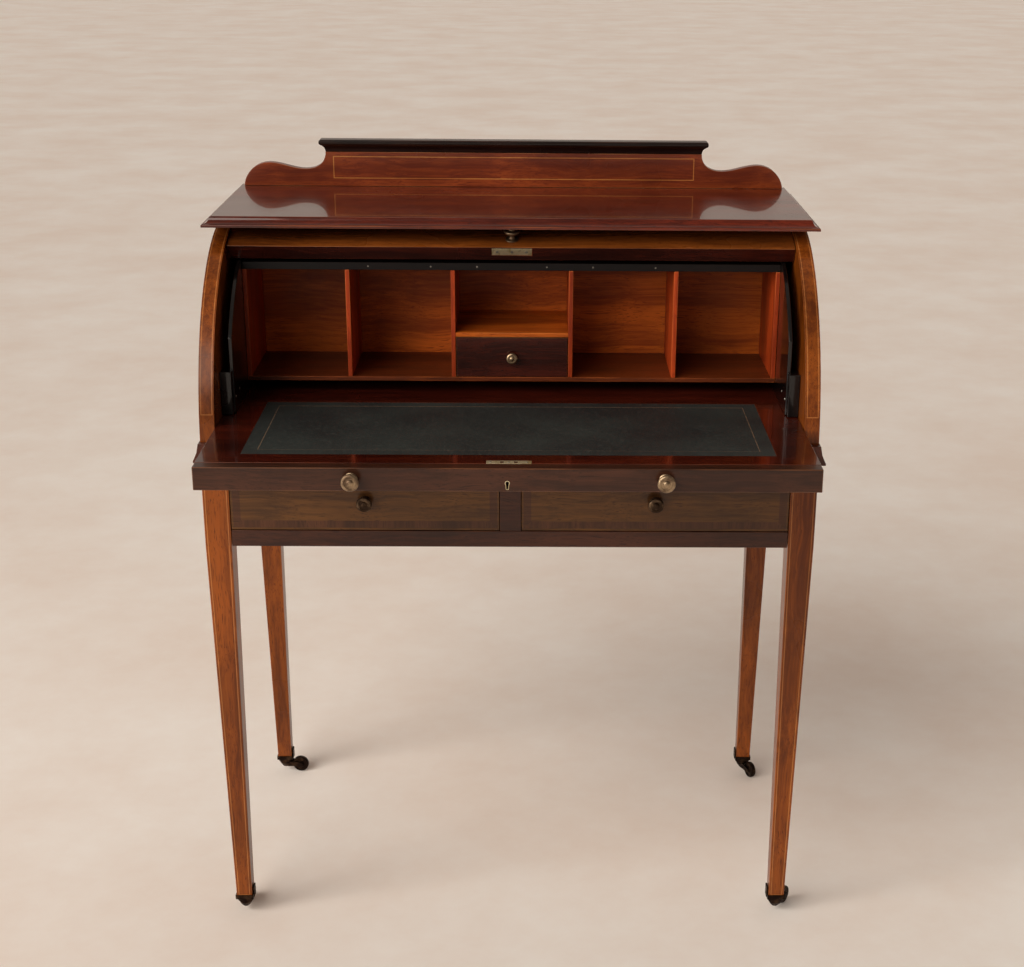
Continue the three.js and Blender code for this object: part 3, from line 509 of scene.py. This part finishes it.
PLATE_PROUD = 0.8 * MM
PLATE_SCREW = 2.4 * MM
pale_brass = metal("pale_brass", "#ece0bc", "#b09c70", 0.48)
bm = shape_of("fall_strike_plate")
ease(bm, 0.3 * MM)
plate_lo, plate_hi = (Vector(corner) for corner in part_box("fall_strike_plate"))
fit(bm, "strike_plate", [pale_brass], "fall", "brass", "fall_strike_plate")
plate_middle = (plate_lo + plate_hi) / 2
along_edge = (plate_middle - fall_centre).normalized()
ahead = Vector((1, 0, 0)).cross(along_edge)
plate_face = plate_middle + ahead * PLATE_PROUD
plate_screws = [plate_face + Vector((x * MM, 0, 0)) for x in (-22, 0, 22)]
bm = screw_heads(plate_screws, ahead, PLATE_SCREW)
fit(bm, "strike_plate_screws", [steel], "fall", "iron")

lo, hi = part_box("fall_knob")
knob_middle = (Vector(lo) + Vector(hi)) / 2
outward = (knob_middle - fall_centre).normalized()
turn = Vector(UP).rotation_difference(outward).to_matrix().to_4x4()
bm = turned_knob(hi[0] - lo[0])
shell_points = frame["nodes"]["cylinder_fall"].data.vertices
seat = max(outward.dot(v.co - fall_centre) for v in shell_points)
bmesh.ops.transform(bm, verts=bm.verts,
                    matrix=Matrix.Translation(fall_centre + outward * seat) @ turn)
fit(bm, "fall_knob_turned", [brass], "fall", "brass", "fall_knob")

# ---------------------------------------------------------------------------------------------
# Fall arms: iron straps with a curved flange, screwed under the fall's ends and pivoting in the
# sides. Forged and painted black.
# ---------------------------------------------------------------------------------------------
iron = metal("blackened_iron", "#3a3430", "#1c1816", 0.42, cast_grain=0.3)
for end in ENDS:
    bm = shape_of(f"fall_arm_{end}")
    ease(bm, 0.5 * MM)
    fit(bm, f"{end}_fall_arm", [iron], "fall", "iron", f"fall_arm_{end}")

# ---------------------------------------------------------------------------------------------
# Writing slide: a mahogany board with a deep front rail and a leather lining let in flush.
# ---------------------------------------------------------------------------------------------
slide_x = wood("glossy_mahogany", "x", "#521c10", "#2c0d08", "#7a3c24",
               roughness=0.22, polish=0.7, polish_roughness=0.06)
rail_x = wood("faded_mahogany", "x", "#4c2a1a", "#2e180e", "#6c4228", roughness=0.36)
bm = shape_of("slide_board")
ease(bm, 0.5 * MM)
fit(bm, "slide_board_framed", [slide_x], "slide", "mahogany", "slide_board")
bm = shape_of("slide_front_rail")
ease(bm, 1.2 * MM)
fit(bm, "slide_rail", [rail_x], "slide", "mahogany_faded", "slide_front_rail")

# The lock is let in behind the rail: a brass selvedge flush with the slide, with two bolt
# mouths and its screws, and a keyhole lined with brass.
lo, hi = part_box("slide_front_rail")
SELVEDGE = (62 * MM, 13 * MM, 1.2 * MM)
SELVEDGE_SCREW = 2.2 * MM
MOUTH_NEAR = 7
MOUTH_FAR = 12
MOUTH_HALF = 3
# Painted shade: near-black in the bolt mouths and over the keyhole's opening, for the dark inside
# the holes.
hole_shade = metal("lock_shadow", "#15100c", "#080605", 0.8)
bm = bmesh.new()
bm.faces.layers.float.new("eased")
bmesh.ops.create_cube(bm, size=1)
bmesh.ops.scale(bm, vec=SELVEDGE, verts=bm.verts)
plate = facing(bm, UP)
for x in (-MOUTH_FAR, -MOUTH_NEAR, MOUTH_NEAR, MOUTH_FAR):
    plate = cut_across(bm, plate, (x * MM, 0, 0), (1, 0, 0))
for y in (-MOUTH_HALF, MOUTH_HALF):
    plate = cut_across(bm, plate, (0, y * MM, 0), (0, 1, 0))
mouths = [
    f for f in plate
    if MOUTH_NEAR * MM < abs(f.calc_center_median().x) < MOUTH_FAR * MM
    and abs(f.calc_center_median().y) < 1 * MM
]
sunk = bmesh.ops.inset_individual(bm, faces=mouths, thickness=0.2 * MM, depth=-0.8 * MM)
for face in mouths + sunk["faces"]:
    face.material_index = 1
ease(bm, 0.15 * MM)
selvedge_middle = Vector((0, hi[1] + 6 * MM, hi[2] + 0.25 * MM - SELVEDGE[2] / 2))
bmesh.ops.translate(bm, vec=selvedge_middle, verts=bm.verts)
fit(bm, "lock_selvedge", [pale_brass, hole_shade], "slide", "brass")
top_of_plate = selvedge_middle + Vector((0, 0, SELVEDGE[2] / 2 - 0.3 * MM))
selvedge_screws = [top_of_plate + Vector((x * MM, 0, 0)) for x in (-25, 0, 25)]
bm = screw_heads(selvedge_screws, UP, SELVEDGE_SCREW)
fit(bm, "lock_selvedge_screws", [steel], "slide", "iron")

KEYHOLE_RADIUS = 3.4 * MM
KEYHOLE_DROP = 6 * MM
LINING_WIDTH = 0.9 * MM
bm = bmesh.new()
bm.faces.layers.float.new("eased")
bmesh.ops.create_circle(bm, cap_ends=True, segments=28, radius=KEYHOLE_RADIUS)
foot = [v for v in bm.verts if v.co.y < -0.78 * KEYHOLE_RADIUS]
bmesh.ops.translate(bm, vec=(0, -KEYHOLE_DROP, 0), verts=foot)
hole = list(bm.faces)
bmesh.ops.inset_region(bm, faces=hole, thickness=LINING_WIDTH, use_boundary=True)
# The keyhole's opening is a flat disc of painted shade.
for face in hole:
    face.material_index = 1
bmesh.ops.solidify(bm, geom=bm.faces[:], thickness=0.3 * MM)
bmesh.ops.recalc_face_normals(bm, faces=bm.faces)
keyhole = Vector((-1.7 * MM, lo[1] - 0.05 * MM, lo[2] + 12 * MM))
bmesh.ops.transform(bm, verts=bm.verts, matrix=Matrix.Translation(keyhole) @ to_front)
fit(bm, "keyhole_lining", [pale_brass, hole_shade], "slide", "brass")

# Goat skiver dyed dark green: a fine pebbled grain, dulled and rubbed grey in fine scuffs.
LEATHER_GRAIN = 1.6 * MM


def leather():
    """Dyed skiver, pebbled and rubbed."""
    material, tree, shader = new_material("dyed_skiver")
    place = node(tree, "ShaderNodeTexCoord", {}).outputs["Object"]
    cloud = node(tree, "ShaderNodeTexNoise", {"Vector": place, "Scale": 9.0, "Detail": 5.0})
    pebble = node(tree, "ShaderNodeTexVoronoi", {"Vector": place, "Scale": 1 / LEATHER_GRAIN})
    scuff = node(tree, "ShaderNodeTexNoise", {"Vector": place, "Scale": 160.0, "Detail": 6.0})
    share = node(tree, "ShaderNodeMapRange", {0: cloud.outputs["Fac"], 1: 0.35, 2: 0.68})
    colour = node(tree, "ShaderNodeMix",
                  {0: share.outputs[0], 6: linear("#1c2020"), 7: linear("#2b3230")},
                  data_type="RGBA")
    rubbed = node(tree, "ShaderNodeMapRange", {
        0: scuff.outputs["Fac"], 1: 0.55, 2: 0.8, 4: 0.35})
    colour = node(tree, "ShaderNodeMix",
                  {0: rubbed.outputs[0], 6: colour.outputs[2], 7: linear("#4a504c")},
                  data_type="RGBA")
    tree.links.new(colour.outputs[2], shader.inputs["Base Color"])
    dull = node(tree, "ShaderNodeMapRange", {0: scuff.outputs["Fac"], 3: 0.42, 4: 0.68})
    tree.links.new(dull.outputs[0], shader.inputs["Roughness"])
    bump = node(tree, "ShaderNodeBump", {
        "Strength": 0.35, "Distance": 0.25 * MM, "Height": pebble.outputs["Distance"]})
    tree.links.new(bump.outputs[0], shader.inputs["Normal"])
    return material


# Blind-tooled line with most of its gilding gone.
tooling = metal("worn_gilding", "#b49c84", "#7c6c5c", 0.55)
bm = shape_of("writing_leather")
let_in_line(bm, facing(bm, UP), 20 * MM, 1.2 * MM, 1, depth=-0.2 * MM)
fit(bm, "leather_lining", [leather(), tooling], "slide", "leather", "writing_leather")

# ---------------------------------------------------------------------------------------------
# Frieze drawers: faded, crossbanded mahogany fronts with a fine bead round them, glued to
# plain boxes of raw pine.
# ---------------------------------------------------------------------------------------------
faded_x = wood("sunned_mahogany", "x", "#664018", "#3e240e", "#7e522a", roughness=0.36)
band_x = wood("crossbanding", "x", "#54301a", "#381e0e", "#7e522a", roughness=0.36)
band_z = wood("crossbanding", "z", "#54301a", "#381e0e", "#7e522a", roughness=0.36)
BEAD = 3 * MM
BAND = 11 * MM
for end in ENDS:
    bm = shape_of(f"drawer_front_{end}")
    panel = facing(bm, FRONT)
    bmesh.ops.inset_region(bm, faces=panel, thickness=BEAD, depth=-0.7 * MM, use_boundary=True,
                           use_even_offset=True)
    band = bmesh.ops.inset_region(bm, faces=panel, thickness=BAND, use_boundary=True,
                                  use_even_offset=True)
    for face in band["faces"]:
        span = max(v.co.x for v in face.verts) - min(v.co.x for v in face.verts)
        face.material_index = 1 if span < 2 * BAND else 2
    ease(bm, 0.5 * MM)
    fit(bm, f"{end}_drawer_front", [faded_x, band_x, band_z], f"{end}_drawer",
        "mahogany_faded", f"drawer_front_{end}")
    bm = shape_of(f"drawer_box_{end}")
    ease(bm, 0.7 * MM)
    fit(bm, f"{end}_drawer_box", [raw_y], f"{end}_drawer", "mahogany_raw", f"drawer_box_{end}")

# ---------------------------------------------------------------------------------------------
# Castors: cast brass gone dark, each a square socket screwed to the foot, a swivelling horn and
# a small wheel on an axle.
# ---------------------------------------------------------------------------------------------
castor_metal = metal("dark_cast_brass", "#4c3a2c", "#241a16", 0.36, tarnish=0.7, cast_grain=0.25)
WHEEL_SECTION = (
    (2.4, -4.5), (5.8, -4.5), (6.6, -3.3), (11.4, -3.3), (12.2, -4.3), (13.5, -4), (14.4, -2.6),
    (14.4, 2.6), (13.5, 4), (12.2, 4.3), (11.4, 3.3), (6.6, 3.3), (5.8, 4.5), (2.4, 4.5),
)
for corner in CORNERS:
    for part, body in (("socket", "carcase"), ("horn", f"castor_{corner}")):
        bm = shape_of(f"castor_{part}_{corner}")
        ease(bm, 0.5 * MM)
        fit(bm, f"{corner}_castor_{part}", [castor_metal], body, "iron",
            f"castor_{part}_{corner}")
    axle = next(j for j in frame["joints"] if j["name"] == f"castor_roll_{corner}")
    bm = bmesh.new()
    bm.faces.layers.float.new("eased")
    rim = [bm.verts.new((r * MM, 0, h * MM)) for r, h in WHEEL_SECTION]
    section = [bm.edges.new(pair) for pair in zip(rim, rim[1:] + rim[:1])]
    bmesh.ops.spin(bm, geom=rim + section, cent=(0, 0, 0), axis=UP, dvec=(0, 0, 0),
                   angle=math.tau, steps=48, use_merge=True, use_duplicate=False)
    bmesh.ops.remove_doubles(bm, verts=bm.verts, dist=0.01 * MM)
    bmesh.ops.recalc_face_normals(bm, faces=bm.faces)
    aim = Vector(UP).rotation_difference(Vector(axle["axis"])).to_matrix().to_4x4()
    bmesh.ops.transform(bm, verts=bm.verts, matrix=Matrix.Translation(axle["pos_m"]) @ aim)
    fit(bm, f"{corner}_castor_roller", [castor_metal], f"wheel_{corner}", "iron",
        f"castor_wheel_{corner}")

# ---------------------------------------------------------------------------------------------
# Studio: a pale plaster floor that runs out of sight, soft warm light from the upper left, and
# the camera a little above the desk.
# ---------------------------------------------------------------------------------------------
plaster, tree, shader = new_material("pale_plaster")
place = node(tree, "ShaderNodeTexCoord", {}).outputs["Object"]
mottle = node(tree, "ShaderNodeTexNoise", {
    "Vector": place, "Scale": 1.6, "Detail": 9.0, "Roughness": 0.68})
clouded = node(tree, "ShaderNodeMapRange", {0: mottle.outputs["Fac"], 1: 0.36, 2: 0.64})
shade = node(tree, "ShaderNodeMix",
             {0: clouded.outputs[0], 6: linear("#f7ebe2"), 7: linear("#fffaf5")},
             data_type="RGBA")
tree.links.new(shade.outputs[2], shader.inputs["Base Color"])
shader.inputs["Roughness"].default_value = 0.9
bm = bmesh.new()
bmesh.ops.create_grid(bm, x_segments=1, y_segments=1, size=60)
mesh = bpy.data.meshes.new("floor")
bm.to_mesh(mesh)
bm.free()
mesh.materials.append(plaster)
floor = bpy.data.objects.new("floor", mesh)
floor.location.z = -0.0005
bpy.context.scene.collection.objects.link(floor)

# The room is dim behind the viewer and pale behind the desk, which gives polish its depth; the eye
# itself sees an even pale ground on every side.
world = bpy.data.worlds.new("studio")
bpy.context.scene.world = world
world.use_nodes = True
tree = world.node_tree
ground = tree.nodes["Background"]
ground.inputs["Color"].default_value = linear("#f2dfd0")
way = node(tree, "ShaderNodeTexCoord", {}).outputs["Generated"]
far_side = node(tree, "ShaderNodeSeparateXYZ", {0: way}).outputs["Y"]
room = node(tree, "ShaderNodeMapRange", {0: far_side, 1: -0.6, 2: 0.9, 3: 0.16, 4: 0.5})
seen = node(tree, "ShaderNodeLightPath", {}).outputs["Is Camera Ray"]
glow = node(tree, "ShaderNodeMix", {0: seen, 2: room.outputs[0], 3: 0.82})
tree.links.new(glow.outputs[0], ground.inputs["Strength"])


def soft_light(name, kind, place, aim, strength, **spread):
    """A soft lamp of this kind, standing at place and turned towards aim."""
    lamp = bpy.data.lights.new(name, kind)
    lamp.energy = strength
    for setting, value in spread.items():
        setattr(lamp, setting, value)
    made = bpy.data.objects.new(name, lamp)
    made.location = place
    made.rotation_euler = (Vector(aim) - Vector(place)).to_track_quat("-Z", "Y").to_euler()
    bpy.context.scene.collection.objects.link(made)


soft_light("daylight", "SUN", (-2.4, -2.6, 2.6), (0, 0, 0.8), 2.6,
           angle=math.radians(58), color=(1, 0.93, 0.84))
soft_light("window", "AREA", (-2.6, -1.2, 2.2), (0, 0.1, 0.9), 22, size=1.2,
           color=(1, 0.93, 0.84))

camera = bpy.data.cameras.new("camera")
camera.lens = 61.09
camera.shift_x = -0.0491
camera.shift_y = 0.0728
eye = bpy.data.objects.new("camera", camera)
yaw = math.radians(1.025)
pitch = math.radians(-20.874)
forward = Vector((
    math.sin(yaw) * math.cos(pitch), math.cos(yaw) * math.cos(pitch), math.sin(pitch)))
level = forward.cross(Vector(UP)).normalized()
roll = Matrix.Rotation(math.radians(-0.558), 3, forward)
right = roll @ level
above = right.cross(forward)
eye.matrix_world = Matrix.Translation((0.03376, -2.56689, 1.53178)) @ Matrix(
    (right, above, -forward)).transposed().to_4x4()
bpy.context.scene.collection.objects.link(eye)
bpy.context.scene.camera = eye
bpy.context.scene.view_settings.view_transform = "Standard"
